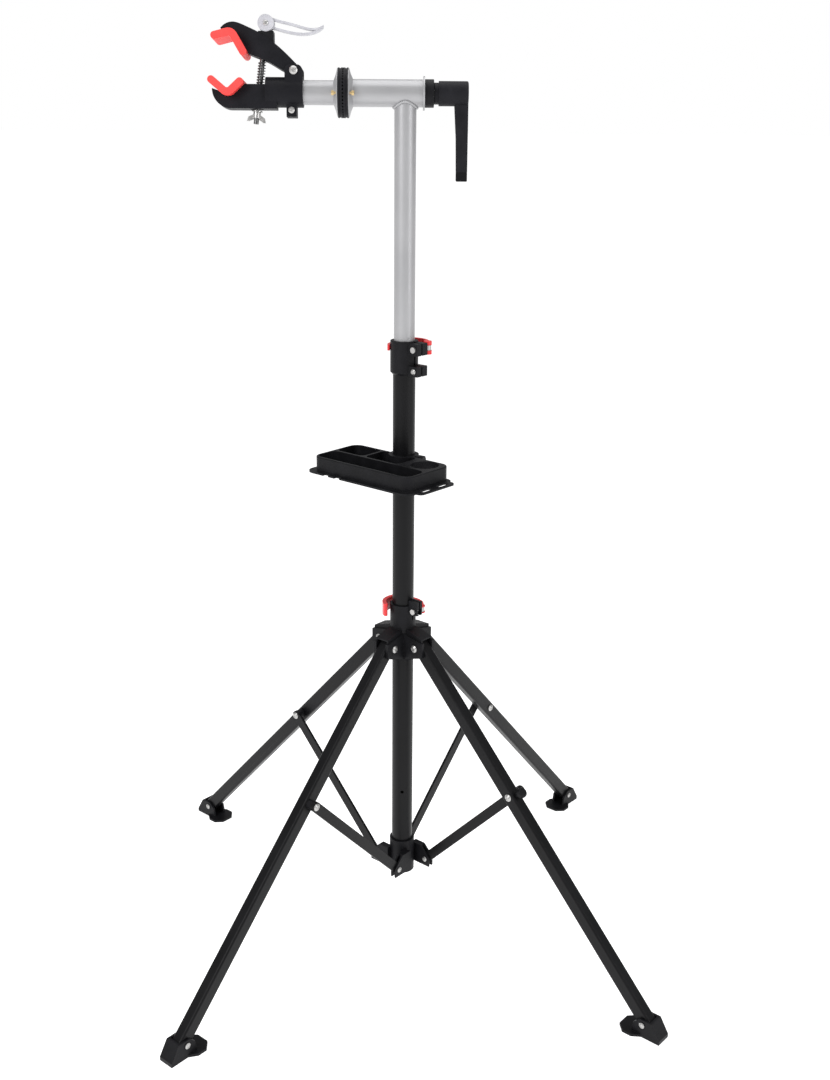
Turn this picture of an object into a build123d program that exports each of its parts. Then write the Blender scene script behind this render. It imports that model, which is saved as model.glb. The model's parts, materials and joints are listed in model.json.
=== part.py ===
from build123d import *
from math import atan2, cos, degrees, pi, radians, sin, sqrt
import os

# A folding work stand for holding a bicycle by its frame. Four legs fold like an umbrella
# round a telescoping mast, which carries a tool tray and a turning clamp head.
# Origin on the floor below the mast, +Z up, clamp arm along -X, millimetres.

# Clearances
running_gap = 0.05       # radial, pin in a turning hole
sliding_gap = 0.3        # radial, tube in tube
side_gap = 0.5           # between moving flat faces
overcut = 1.0            # how far a cut runs past the face it opens

# Folding linkage, in the plane of each leg
leg_count = 4
leg_turn = 3.85          # the legs stand this far round from the diagonals
pin_circle = 41.6        # radius of the leg pins and the strut pins round the mast
leg_length = 738.0       # upper pin to foot pin
strut_length = 306.4     # mast pin to knee pin
spread_angle = 43.68     # strut from the vertical, legs open
knee_lead = 0.57         # knee pin beyond the line between the leg's end pins
foot_pin_height = 23.0

# Legs and struts
leg_width = 21.0
leg_depth = 25.0
leg_wall = 1.5
leg_corner = 4.0
leg_top_reach = 11.0     # tube beyond the upper pin
leg_foot_reach = 8.0     # tube beyond the foot pin
leg_rise = 1.5           # tube axis outside the line of its end pins
strut_width = 18.0
strut_thickness = 5.0
strut_clear = 1.5        # hub slot behind the strut's round end
spacer_length = 10.7
spacer_radius = 8.5
rivet_radius = 4.0
rivet_head_radius = 6.5
rivet_head_height = 3.4
small_head_radius = 5.2  # at the feet and the lower hub
small_head_height = 2.2
rivet_crown = 0.6         # flat of a rivet's head against its full radius

# Feet
foot_plate = 4.5
foot_width = 50.0
foot_toe = 34.0          # outwards from the foot pin
foot_heel = 44.0         # inwards from the foot pin
foot_heel_corner = 13.0
foot_cheek = 4.0
foot_cheek_rise = 10.0   # cheek above the foot pin
foot_cheek_back = 16.0   # inner edge of the cheek
foot_flare = 14.0        # where the plate reaches its full width
foot_wall = 4.5          # sloping wall at the toe
foot_wall_top = 18.0
foot_wall_batter = 1.0

# Knob on the outside of one leg, beside the knee
leg_knob_radius = 9.0
leg_knob_height = 18.0
leg_knob_distance = 311.0  # from the upper pin
leg_knob_round = 3.6

# Mast tubes
outer_mast_radius = 19.0
outer_mast_wall = 1.2
outer_mast_bottom = 94.0
outer_mast_top = 1100.0
inner_mast_radius = 17.5
inner_mast_wall = 1.2
inner_mast_bottom = 705.0
glide_lip = 8.0          # plug on which the inner mast turns
glide_spigot = 40.0
hole_radius = 3.0
hole_height = 264.0

# Lower hub
lower_sleeve_radius = 23.0
lower_sleeve_top = 160.5
cheek_thickness = 3.0
cheek_reach = 10.0       # beyond the strut pin
cheek_drop = 13.5        # below the strut pin
cheek_shoulder = 5.0     # above the strut pin

# Upper hub, heights from the leg pins
upper_sleeve_radius = 23.0
upper_sleeve_top = 73.0
upper_sleeve_bottom = 31.0
channel_wall = 3.0
gusset_wall = 3.0
roof_thickness = 2.5
roof_inner_height = 27.0
roof_outer_height = 17.0
roof_reach = 56.0
gusset_reach = 59.0
gusset_top = 13.0
gusset_apex = 23.5
gusset_outer_bottom = 14.0
gusset_bottom = 29.0
channel_back = 2.0       # channel's closed end beyond the sleeve

# Clamp ears and quick-release levers
ear_gap = 3.0
collar_radius = 23.5
collar_top = 1105.0
collar_bottom = 1048.0
collar_chamfer = 4.0
collar_round = 1.3
collar_ear_reach = 39.0
collar_ear_width = 26.0
collar_ear_height = 20.0
collar_lower_ear_height = 17.0
collar_bolt_reach = 31.0
hub_ear_reach = 38.8
hub_ear_width = 14.0
hub_ear_height = 25.0
hub_bolt_reach = 30.0
hub_eye_gap = 2.0
hub_ear_top = 83.0
hub_bolt_height = 64.5
window_width = 9.0
window_height = 11.0
window_depth = 7.0
clamp_bolt_radius = 3.0
clamp_bolt_head = 5.0
barrel_radius = 6.0
barrel_height = 8.0
lever_bore = 2.5
lever_boss = 1.0         # lever's fork beyond the barrel
lever_pocket = 2.0       # room round the barrel in the fork
lever_thickness = 4.5
lever_radius = 34.0
lever_height = 22.0
lever_tip_height = 10.0
hub_lever_height = 23.0
hub_fork_height = 13.0
hub_lever_thickness = 7.0
hub_lever_end = 203.0    # where the arm stops, round from +X
collar_lever_centre = 6.5
collar_lever_end = 186.0
collar_ear_shift = 1.0
collar_ear_drop = 2.0
collar_eye_gap = 4.0

# Tray, x along its length and y outwards from the mast
tray_top = 908.6
tray_depth = 28.0
tray_length = 216.0
tray_width = 111.0
tray_back = 3.5
tray_corner = 18.0
pocket_corner = 10.0
tray_wall = 4.5
tray_front_width = 46.0
tray_rim_round = 2.0
tray_divider = 42.0
tray_boss_radius = 26.0
cup_radius = 24.0
cup_wall = 6.0
cup_x = -75.0
cup_y = 33.0
flange_thickness = 3.0
flange_margin = 9.0
lobe_reach = 34.0
lobe_radius = 24.0
lobe_hole = 4.0
slot_length = 26.0
slot_width = 9.0
slot_lobe_reach = 20.0
slot_lobe_width = 89.0
slot_spread = 20.8       # slots either side of the tray's middle
notch_places = (68.0, 42.0)
notch_width = 12.0
liner_wall = 2.0
liner_lip = 3.0
knob_radius = 7.0
knob_lobes = 6
knob_scallop = 1.75
knob_scallop_circle = 8.0
tray_lug_height = 12.0
tray_lug_width = 10.0
tray_lug_reach = 6.0
tray_screw_turn = 13.0   # the screw points this far behind the tray's long side

# Head tube and lock rings
head_height = 1496.0
head_tube_radius = 21.0
head_tube_wall = 2.0
head_tube_end = 28.0
end_flange_radius = 26.0
end_flange_width = 2.5
ring_centre = -98.0
ring_gap = 0.3
ring_width = 8.1
ring_radius = 38.0
ring_bore = 24.0
ring_groove = 1.0
ring_groove_width = 2.4  # also its distance from the ring's back
tooth_count = 44
tooth_depth = 1.2
tooth_root = 32.0
flare_width = 7.0
flare_lip = 1.2
flare_radius = 37.0
ring_screw_circle = 29.0
ring_screw_count = 2
ring_screw_start = 180.0  # the first screw faces the front
ring_screw_radius = 2.0
ring_screw_head = 4.2
ring_screw_head_height = 4.0
ring_screw_seat = 5.6    # underside of the heads behind the ring

# Arm, tension rod and crank handle
arm_radius = 18.8
arm_wall = 2.0
arm_end = -212.0
rod_radius = 6.0
rod_plug_start = -190.0
rod_plug_length = 12.0
bush_radius = 21.5
bush_width = 14.5
bush_spigot = 14.0
neck_radius = 16.5
neck_width = 7.0
crank_hub_radius = 19.0
crank_hub_width = 47.0
crank_root_width = 23.0
crank_tip_width = 18.0
crank_depth = 16.0
crank_drop = 134.0
crank_cap_height = 15.0
crank_wall = 5.0
crank_waist = 1.0        # the lever's inner edge bows in this far

# Clamp head, x along the arm and y up in the clamp's own plane
clamp_tilt = 6.0         # the clamp's top leans to the back
socket_radius = 23.0
socket_start = -220.0
socket_end = -161.0
jaw_width = 36.0
jaw_back = -202.5
jaw_front = -303.0
jaw_top = 10.5
jaw_bottom = -26.0
jaw_lip = 4.0
jaw_nose_x = -277.0
jaw_nose_mid = (-295.0, -17.0)
hinge_x = -175.2
hinge_y = 31.5
hinge_radius = 4.0
hinge_ear_half = 14.0
hinge_ear_top = 8.5
hinge_ear_round = 9.0
hinge_ear_wall = 5.0
arm_half_width = 13.5
pinch_x = -179.2
pinch_y = -27.8
pinch_half = 8.0
pinch_drop = 38.0
pinch_gap = 3.0
pinch_slit = -200.0
pinch_depth = 28.0
arm_root_radius = 8.2
arm_top_points = (
    (-170.0, 40.5),
    (-182.3, 52.7),
    (-209.8, 75.8),
    (-230.9, 88.8),
    (-247.8, 96.5),
    (-258.4, 100.8),
    (-269.0, 103.0),
    (-279.7, 100.5),
    (-288.4, 93.4),
)
arm_bottom_points = (
    (-246.5, 57.0),
    (-235.9, 52.5),
    (-218.8, 46.3),
    (-206.1, 39.6),
    (-195.5, 33.5),
    (-183.0, 27.5),
)
pad_depth = 66.0
pad_thickness = 11.5
pad_bend = 9.0
lower_pad_path = ((-302.2, 15.4), (-277.6, -5.0), (-258.0, 12.7))
upper_pad_path = ((-295.7, 80.3), (-269.5, 86.9), (-252.3, 57.0))
cam_x = -218.1
cam_y = 102.0
nut_x = -235.0
nut_y = -34.5
rod_swing = 22.0         # length of the slots that let the clamp rod swing
rod_slot_width = 9.0
rod_slot_round = 4.4
saddle_swing = 16.5      # length of the slot through the saddle
clamp_rod_radius = 4.0
clamp_rod_tail = 14.0
rod_eye_radius = 8.0
cam_radius = 12.8
cam_width = 22.0
cam_pin_radius = 3.0
cam_pin_head = 4.0
cam_pin_head_height = 1.8
cam_fork_gap = 9.0
saddle_half = 12.0
saddle_width = 24.0
saddle_bottom = 74.0
saddle_top = 90.0
prong_width = 6.0
prong_thickness = 3.4
fork_depth = 10.0
upper_prong = (
    (-208.0, 108.5),
    (-193.0, 104.5),
    (-175.9, 100.6),
    (-158.8, 95.9),
    (-144.0, 93.8),
    (-128.6, 98.6),
)
lower_prong = (
    (-209.5, 96.0),
    (-184.6, 89.8),
    (-163.2, 86.9),
    (-146.0, 88.5),
    (-128.6, 98.0),
)
spring_radius = 5.6
spring_wire = 0.8
spring_pitch = 4.2
spring_length = 34.0
spring_seat = 1.0        # spring above the lower jaw
washer_radius = 8.5
washer_thickness = 2.0
nut_gap = 2.0            # between the lower jaw and the washer
nut_radius = 6.0
nut_height = 9.0
wing_span = 30.0
wing_thickness = 3.5
wing_drop = 8.0
wing_width = 7.0
wing_shoulder = 11.3
wing_taper = 2.0
wing_root = 1.0

# Sizes that follow
leg_angle = spread_angle - knee_lead
hub_pin_height = foot_pin_height + leg_length * cos(radians(leg_angle))
strut_drop = strut_length * cos(radians(spread_angle))
knee_height = hub_pin_height - strut_drop
strut_pin_height = knee_height - strut_drop
knee_radius = pin_circle + strut_length * sin(radians(spread_angle))
foot_radius = pin_circle + leg_length * sin(radians(leg_angle))
strut_offset = leg_width / 2 + spacer_length + sliding_gap + strut_thickness / 2
leg_headings = [45 + leg_turn + number * 360 / leg_count for number in range(leg_count)]
tray_heading = leg_headings[2]
ear_heading = leg_headings[3]
outer_mast_bore = outer_mast_radius - outer_mast_wall
sleeve_bore = outer_mast_radius + sliding_gap
channel_half = leg_width / 2 + side_gap
hub_half = channel_half + channel_wall + gusset_wall
foot_inner_half = leg_width / 2 + side_gap
foot_half = foot_inner_half + foot_cheek
tooth_pitch = 2 * pi * ring_radius / tooth_count
rod_lean = degrees(atan2(cam_x - nut_x, cam_y - nut_y))
roof_slope = (roof_inner_height - roof_outer_height) / (roof_reach - upper_sleeve_radius)

os.makedirs("parts", exist_ok=True)


def save(piece, name):
    piece.part.label = name
    export_step(piece.part, f"parts/{name}.step")


def leg_plane(heading, radius=0.0, height=0.0, side=0.0, lean=0.0):
    """Upright plane of a leg: x outwards, y up, z to the right of someone facing outwards.

    A lean turns x down and y outwards by that many degrees.
    """
    outward = Vector(cos(radians(heading)), sin(radians(heading)), 0)
    rightward = Vector(sin(radians(heading)), -cos(radians(heading)), 0)
    point = outward * radius + rightward * side + Vector(0, 0, height)
    leaning = outward * cos(radians(lean)) - Vector(0, 0, sin(radians(lean)))
    return Plane(origin=point, x_dir=leaning, z_dir=rightward)


def add_rivet(plane, grip, shank, head, head_height):
    """A headed pin centred on the plane, clamping a stack of the given thickness."""
    with Locations(plane):
        Cylinder(shank, grip)
        with Locations((0, 0, grip / 2 + head_height / 4)):
            Cylinder(head, head_height / 2)
        with Locations((0, 0, grip / 2 + head_height * 3 / 4)):
            Cone(head, head * rivet_crown, head_height / 2)
        with Locations((0, 0, -grip / 2 - head_height / 4)):
            Cylinder(head, head_height / 2)
        with Locations((0, 0, -grip / 2 - head_height * 3 / 4)):
            Cone(head * rivet_crown, head, head_height / 2)


def make_rivets(name, planes, grip, shank, head, head_height):
    """A node of equal headed pins, one on each plane."""
    with BuildPart() as rivets:
        for plane in planes:
            add_rivet(plane, grip, shank, head, head_height)
    save(rivets, name)


def foot_floor(heading):
    """The floor below a foot pin: x outwards, y to the left, z up."""
    outward = leg_plane(heading).x_dir
    return Plane(origin=outward * foot_radius, x_dir=outward, z_dir=(0, 0, 1))


def cut_hole(plane, radius, length):
    """Cut a round hole along the plane's z, centred on the plane, in the piece being built."""
    with BuildSketch(plane) as hole:
        Circle(radius)
    extrude(hole.sketch, amount=length / 2, both=True, mode=Mode.SUBTRACT)


# ---------------------------------------------------------------- mast

with BuildPart() as outer_mast:
    with BuildSketch(Plane.XY.offset(outer_mast_bottom)):
        Circle(outer_mast_radius)
        Circle(outer_mast_bore, mode=Mode.SUBTRACT)
    extrude(amount=outer_mast_top - outer_mast_bottom)
    with BuildSketch(Plane.XZ.offset(outer_mast_radius)):
        with Locations((0, hole_height)):
            Circle(hole_radius)
    extrude(amount=-outer_mast_radius, mode=Mode.SUBTRACT)
save(outer_mast, "outer_mast")

with BuildPart() as inner_mast:
    with BuildSketch(Plane.XY.offset(inner_mast_bottom)):
        Circle(inner_mast_radius)
        Circle(inner_mast_radius - inner_mast_wall, mode=Mode.SUBTRACT)
    extrude(amount=head_height - inner_mast_bottom)
    with BuildSketch(Plane.YZ):
        with Locations((0, head_height)):
            Circle(head_tube_radius)
    extrude(amount=2 * head_tube_radius, both=True, mode=Mode.SUBTRACT)
save(inner_mast, "inner_mast")

with BuildPart() as mast_glide:
    with BuildSketch(Plane.XY.offset(inner_mast_bottom - side_gap - glide_lip)):
        Circle(inner_mast_radius)
    extrude(amount=glide_lip)
    with BuildSketch(Plane.XY.offset(inner_mast_bottom - side_gap)):
        Circle(inner_mast_radius - inner_mast_wall - running_gap)
    extrude(amount=glide_spigot)
    with BuildSketch(Plane.XY.offset(inner_mast_bottom - side_gap - glide_lip)):
        Circle(inner_mast_radius / 2)
    extrude(amount=glide_lip + glide_spigot, mode=Mode.SUBTRACT)
save(mast_glide, "mast_glide")


# ---------------------------------------------------------------- lower hub and struts

cheek_half = strut_thickness / 2 + side_gap + cheek_thickness
slot_start = pin_circle - strut_width / 2 - strut_clear
cheek_end = pin_circle + cheek_reach

with BuildPart() as lower_hub:
    with BuildSketch(Plane.XY.offset(outer_mast_bottom)):
        Circle(lower_sleeve_radius)
    extrude(amount=lower_sleeve_top - outer_mast_bottom)
    for heading in leg_headings:
        side_plane = leg_plane(heading, 0, strut_pin_height, -strut_offset)
        with BuildSketch(side_plane):
            with BuildLine():
                Polyline(
                    (outer_mast_radius / 2, -cheek_drop),
                    (cheek_end, -cheek_drop),
                    (cheek_end, cheek_shoulder),
                    (slot_start, cheek_shoulder + cheek_end - slot_start),
                    (outer_mast_radius / 2, cheek_shoulder + cheek_end - slot_start),
                    close=True,
                )
            make_face()
        extrude(amount=cheek_half, both=True)
        with BuildSketch(side_plane):
            with Locations(((slot_start + 2 * cheek_end) / 2, 0)):
                Rectangle(2 * cheek_end - slot_start, 4 * cheek_end)
        extrude(amount=strut_thickness / 2 + side_gap, both=True, mode=Mode.SUBTRACT)
        strut_pin = leg_plane(heading, pin_circle, strut_pin_height, -strut_offset)
        cut_hole(strut_pin, rivet_radius, 4 * cheek_half)
    with BuildSketch(Plane.XY.offset(outer_mast_bottom - overcut)):
        Circle(outer_mast_radius)
    extrude(amount=lower_sleeve_top - outer_mast_bottom + 2 * overcut, mode=Mode.SUBTRACT)
save(lower_hub, "lower_hub")

make_rivets(
    "lower_hub_rivets",
    [leg_plane(heading, pin_circle, strut_pin_height, -strut_offset) for heading in leg_headings],
    2 * cheek_half,
    rivet_radius,
    small_head_radius,
    small_head_height,
)

for number, heading in enumerate(leg_headings, start=1):
    with BuildPart() as strut:
        with BuildSketch(leg_plane(heading, pin_circle, strut_pin_height, -strut_offset, spread_angle)):
            with Locations((0, strut_length / 2)):
                SlotCenterToCenter(strut_length, strut_width, rotation=90)
            with Locations((0, 0), (0, strut_length)):
                Circle(rivet_radius + running_gap, mode=Mode.SUBTRACT)
        extrude(amount=strut_thickness / 2, both=True)
    save(strut, f"strut_{number}")


# ---------------------------------------------------------------- legs and feet

knee_bolt_grip = leg_width + spacer_length + 2 * sliding_gap + strut_thickness
foot_grip = 2 * (foot_inner_half + foot_cheek + sliding_gap)

for number, heading in enumerate(leg_headings, start=1):
    hub_pin = leg_plane(heading, pin_circle, hub_pin_height)
    along = hub_pin.x_dir * sin(radians(leg_angle)) - Vector(0, 0, cos(radians(leg_angle)))
    rise = hub_pin.x_dir * cos(radians(leg_angle)) + Vector(0, 0, sin(radians(leg_angle)))
    tube_start = hub_pin.origin - along * leg_top_reach + rise * leg_rise
    with BuildPart() as leg:
        with BuildSketch(Plane(origin=tube_start, x_dir=hub_pin.z_dir, z_dir=along)):
            RectangleRounded(leg_width, leg_depth, leg_corner)
            RectangleRounded(
                leg_width - 2 * leg_wall,
                leg_depth - 2 * leg_wall,
                leg_corner - leg_wall,
                mode=Mode.SUBTRACT,
            )
        extrude(amount=leg_top_reach + leg_length + leg_foot_reach)
        cut_hole(hub_pin, rivet_radius + running_gap, 2 * leg_width)
        cut_hole(leg_plane(heading, knee_radius, knee_height), rivet_radius, 2 * leg_width)
        cut_hole(leg_plane(heading, foot_radius, foot_pin_height), rivet_radius, 2 * leg_width)
    save(leg, f"leg_{number}")

    with BuildPart() as spacer:
        with BuildSketch(leg_plane(heading, knee_radius, knee_height, -leg_width / 2)):
            Circle(spacer_radius)
            Circle(rivet_radius, mode=Mode.SUBTRACT)
        extrude(amount=-spacer_length)
    save(spacer, f"knee_spacer_{number}")

    knee_side = leg_width / 2 - knee_bolt_grip / 2
    with BuildPart() as leg_rivets:
        add_rivet(
            leg_plane(heading, knee_radius, knee_height, knee_side),
            knee_bolt_grip,
            rivet_radius,
            rivet_head_radius,
            rivet_head_height,
        )
        add_rivet(
            leg_plane(heading, foot_radius, foot_pin_height),
            foot_grip,
            rivet_radius,
            small_head_radius,
            small_head_height,
        )
    save(leg_rivets, f"leg_rivets_{number}")

    with BuildPart() as foot:
        with BuildSketch(foot_floor(heading)):
            with BuildLine():
                Polyline(
                    (foot_toe, -foot_half),
                    (0, -foot_half),
                    (-foot_flare, -foot_width / 2),
                    (foot_heel_corner - foot_heel, -foot_width / 2),
                    (-foot_heel, -foot_width / 2 + foot_heel_corner),
                    (-foot_heel, foot_width / 2 - foot_heel_corner),
                    (foot_heel_corner - foot_heel, foot_width / 2),
                    (-foot_flare, foot_width / 2),
                    (0, foot_half),
                    (foot_toe, foot_half),
                    close=True,
                )
            make_face()
        extrude(amount=foot_plate)
        with BuildSketch(leg_plane(heading, foot_radius)):
            with BuildLine():
                Polyline(
                    (foot_toe, 0),
                    (foot_toe, foot_plate + foot_wall / 2),
                    (foot_wall_top, foot_pin_height + foot_cheek_rise),
                    (-foot_cheek_rise / 2, foot_pin_height + foot_cheek_rise),
                    (-foot_cheek_back, foot_pin_height),
                    (-foot_cheek_back - foot_wall, 0),
                    close=True,
                )
            make_face()
        extrude(amount=foot_half, both=True)
        with BuildSketch(leg_plane(heading, foot_radius)):
            with BuildLine():
                Polyline(
                    (foot_toe - foot_wall - foot_wall_batter, foot_plate),
                    (foot_wall_top - foot_wall, foot_pin_height + foot_cheek_rise),
                    (foot_wall_top - foot_wall, 2 * foot_pin_height),
                    (-2 * foot_heel, 2 * foot_pin_height),
                    (-2 * foot_heel, foot_plate),
                    close=True,
                )
            make_face()
        extrude(amount=foot_inner_half, both=True, mode=Mode.SUBTRACT)
        cut_hole(leg_plane(heading, foot_radius, foot_pin_height), rivet_radius + running_gap, foot_width)
    save(foot, f"foot_{number}")

knob_heading = leg_plane(leg_headings[3])
knob_rise = knob_heading.x_dir * cos(radians(leg_angle)) + Vector(0, 0, sin(radians(leg_angle)))
knob_along = knob_heading.x_dir * sin(radians(leg_angle)) - Vector(0, 0, cos(radians(leg_angle)))
knob_foot = (
    knob_heading.x_dir * pin_circle
    + Vector(0, 0, hub_pin_height)
    + knob_along * leg_knob_distance
    + knob_rise * (leg_rise + leg_depth / 2)
)
knob_plane = Plane(origin=knob_foot, x_dir=knob_along, z_dir=knob_rise)

with BuildPart() as leg_knob:
    with BuildSketch(knob_plane):
        Circle(leg_knob_radius / 2)
    extrude(amount=leg_knob_height)
    with BuildSketch(knob_plane.offset(leg_knob_height / 2)):
        Circle(leg_knob_radius)
    extrude(amount=leg_knob_height / 2)
    knob_rims = leg_knob.edges().filter_by(GeomType.CIRCLE).sort_by(SortBy.RADIUS)
    fillet(knob_rims[-1], leg_knob_round)
save(leg_knob, "leg_knob")


# ---------------------------------------------------------------- upper hub

with BuildPart() as upper_hub:
    with BuildSketch(Plane.XY.offset(hub_pin_height - upper_sleeve_bottom)):
        Circle(upper_sleeve_radius)
    extrude(amount=upper_sleeve_top + upper_sleeve_bottom)
    for heading in leg_headings:
        side_plane = leg_plane(heading, 0, hub_pin_height)
        with BuildSketch(side_plane):
            with BuildLine():
                Polyline(
                    (outer_mast_radius / 2, -gusset_bottom),
                    (gusset_reach, -gusset_outer_bottom),
                    (gusset_reach, gusset_top),
                    (outer_mast_radius / 2, gusset_apex),
                    close=True,
                )
            make_face()
        extrude(amount=hub_half, both=True)
        with BuildSketch(side_plane):
            with BuildLine():
                Polyline(
                    (outer_mast_radius / 2, 0),
                    (roof_reach, 0),
                    (roof_reach, roof_outer_height + roof_thickness),
                    (upper_sleeve_radius, roof_inner_height + roof_thickness),
                    (outer_mast_radius / 2, roof_inner_height + roof_thickness),
                    close=True,
                )
            make_face()
        extrude(amount=channel_half + channel_wall, both=True)
    for heading in leg_headings:
        side_plane = leg_plane(heading, 0, hub_pin_height)
        with BuildSketch(side_plane):
            with BuildLine():
                Polyline(
                    (upper_sleeve_radius + channel_back, -2 * gusset_bottom),
                    (2 * gusset_reach, -2 * gusset_bottom),
                    (2 * gusset_reach, roof_outer_height - (2 * gusset_reach - roof_reach) * roof_slope),
                    (roof_reach, roof_outer_height),
                    (upper_sleeve_radius + channel_back, roof_inner_height - channel_back * roof_slope),
                    close=True,
                )
            make_face()
        extrude(amount=channel_half, both=True, mode=Mode.SUBTRACT)
        cut_hole(leg_plane(heading, pin_circle, hub_pin_height), rivet_radius, 3 * hub_half)
    ear_plane = leg_plane(ear_heading, 0, hub_pin_height + hub_ear_top - hub_ear_height / 2)
    with BuildSketch(ear_plane):
        with Locations(((hub_ear_reach + outer_mast_radius) / 2, 0)):
            Rectangle(hub_ear_reach - outer_mast_radius, hub_ear_height)
    extrude(amount=hub_ear_width / 2, both=True)
    with BuildSketch(ear_plane):
        with Locations(((hub_ear_reach + outer_mast_radius / 2) / 2, 0)):
            Rectangle(hub_ear_reach, 2 * hub_ear_height)
    extrude(amount=ear_gap / 2, both=True, mode=Mode.SUBTRACT)
    window_point = leg_plane(ear_heading, hub_ear_reach, hub_pin_height + hub_bolt_height).origin
    with BuildSketch(Plane(origin=window_point, x_dir=ear_plane.z_dir, z_dir=ear_plane.x_dir)):
        Rectangle(window_width, window_height)
    extrude(amount=-window_depth, mode=Mode.SUBTRACT)
    hub_bolt_plane = leg_plane(ear_heading, hub_bolt_reach, hub_pin_height + hub_bolt_height)
    cut_hole(hub_bolt_plane, clamp_bolt_radius, 2 * hub_ear_width)
    with BuildSketch(Plane.XY.offset(hub_pin_height - 2 * gusset_bottom)):
        Circle(sleeve_bore)
    extrude(amount=2 * upper_sleeve_top + 2 * gusset_bottom, mode=Mode.SUBTRACT)
save(upper_hub, "upper_hub")

make_rivets(
    "upper_hub_rivets",
    [leg_plane(heading, pin_circle, hub_pin_height) for heading in leg_headings],
    2 * hub_half,
    rivet_radius,
    rivet_head_radius,
    rivet_head_height,
)


def make_clamp_bolt(height, reach, near_side, far_side, eye_side):
    """A bolt across a pair of ears, with an upright barrel at its far end for the lever."""
    near = leg_plane(ear_heading, reach, height, near_side)
    with BuildPart() as bolt:
        with BuildSketch(near):
            Circle(clamp_bolt_radius)
        extrude(amount=eye_side - near_side)
        with BuildSketch(near):
            Circle(clamp_bolt_head)
        extrude(amount=clamp_bolt_radius)
        with BuildSketch(eye_floor(height - barrel_height / 2, reach, eye_side)):
            Circle(barrel_radius)
        extrude(amount=barrel_height)
        with BuildSketch(eye_floor(height - barrel_height, reach, eye_side)):
            Circle(lever_bore + running_gap)
        extrude(amount=2 * barrel_height, mode=Mode.SUBTRACT)
    return bolt


def eye_floor(height, reach, side):
    """Level plane at the barrel of a clamp bolt."""
    point = leg_plane(ear_heading, reach, height, side).origin
    return Plane(origin=point, x_dir=(1, 0, 0), z_dir=(0, 0, 1))


def make_lever(name, height, reach, eye_side, centre_x, thickness, sizes, end_angle):
    """A quick-release lever: a fork on the barrel and an arm bent round behind the mast."""
    pivot = leg_plane(ear_heading, reach, height, eye_side).origin
    start = degrees(atan2(pivot.Y, pivot.X - centre_x))
    radius = sqrt((pivot.X - centre_x) ** 2 + pivot.Y**2)
    half_way = (start + end_angle) / 2
    with BuildPart() as lever:
        for first, last, tall in ((start, half_way, sizes[0]), (half_way, end_angle, sizes[1])):
            with BuildLine(mode=Mode.PRIVATE) as sweep_line:
                CenterArc((centre_x, 0), radius, first, last - first)
            with BuildSketch(Plane.XY.offset(height - tall / 2)):
                SlotArc(arc=sweep_line.edge(), height=thickness)
            extrude(amount=tall)
        with BuildSketch(eye_floor(height - sizes[0] / 2, reach, eye_side)):
            Circle(barrel_radius + lever_boss)
        extrude(amount=sizes[0])
        with BuildSketch(eye_floor(height - barrel_height / 2 - side_gap, reach, eye_side)):
            Circle(barrel_radius + lever_pocket)
        extrude(amount=barrel_height + 2 * side_gap, mode=Mode.SUBTRACT)
        with BuildSketch(eye_floor(height - barrel_height, reach, eye_side)):
            Circle(lever_bore)
        extrude(amount=2 * barrel_height)
    save(lever, name)


hub_bolt_mid = hub_pin_height + hub_bolt_height
hub_eye_side = -(hub_ear_width / 2 + barrel_radius + hub_eye_gap)
hub_bolt = make_clamp_bolt(
    hub_bolt_mid, hub_bolt_reach, hub_ear_width / 2, -hub_ear_width / 2, hub_eye_side
)
save(hub_bolt, "hub_bolt")
make_lever(
    "hub_lever",
    hub_bolt_mid,
    hub_bolt_reach,
    hub_eye_side,
    0,
    hub_lever_thickness,
    (hub_fork_height, hub_lever_height),
    hub_lever_end,
)


# ---------------------------------------------------------------- mast collar

collar_upper_mid = collar_top - collar_ear_drop - collar_ear_height / 2
collar_lower_mid = collar_bottom + collar_lower_ear_height / 2
collar_near = collar_ear_width / 2 - collar_ear_shift
collar_far = -collar_ear_width / 2 - collar_ear_shift
collar_eye_side = collar_far - barrel_radius - collar_eye_gap

with BuildPart() as top_collar:
    with BuildSketch(Plane.XY.offset(collar_bottom)):
        Circle(collar_radius)
    extrude(amount=collar_top - collar_bottom)
    chamfer(top_collar.edges().sort_by(Axis.Z)[0], collar_chamfer)
    fillet(top_collar.edges().sort_by(Axis.Z)[-1], collar_round)
    for middle, tall in (
        (collar_upper_mid, collar_ear_height),
        (collar_lower_mid, collar_lower_ear_height),
    ):
        with BuildSketch(leg_plane(ear_heading, 0, middle, -collar_ear_shift)):
            with Locations(((collar_ear_reach + outer_mast_radius) / 2, 0)):
                Rectangle(collar_ear_reach - outer_mast_radius, tall)
        extrude(amount=collar_ear_width / 2, both=True)
        cut_hole(
            leg_plane(ear_heading, collar_bolt_reach, middle, -collar_ear_shift),
            clamp_bolt_radius,
            2 * collar_ear_width,
        )
    with BuildSketch(leg_plane(ear_heading, 0, 0)):
        with Locations((collar_ear_reach, (collar_top + collar_bottom) / 2)):
            Rectangle(2 * collar_ear_reach, 2 * (collar_top - collar_bottom))
    extrude(amount=ear_gap / 2, both=True, mode=Mode.SUBTRACT)
    with BuildSketch(Plane.XY.offset(collar_bottom - overcut)):
        Circle(outer_mast_radius)
    extrude(amount=outer_mast_top - collar_bottom + overcut, mode=Mode.SUBTRACT)
    with BuildSketch(Plane.XY.offset(outer_mast_top)):
        Circle(inner_mast_radius + sliding_gap)
    extrude(amount=collar_top - outer_mast_top + overcut, mode=Mode.SUBTRACT)
save(top_collar, "top_collar")

collar_lever_bolt = make_clamp_bolt(
    collar_upper_mid, collar_bolt_reach, collar_near, collar_far, collar_eye_side
)
save(collar_lever_bolt, "collar_lever_bolt")

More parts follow.
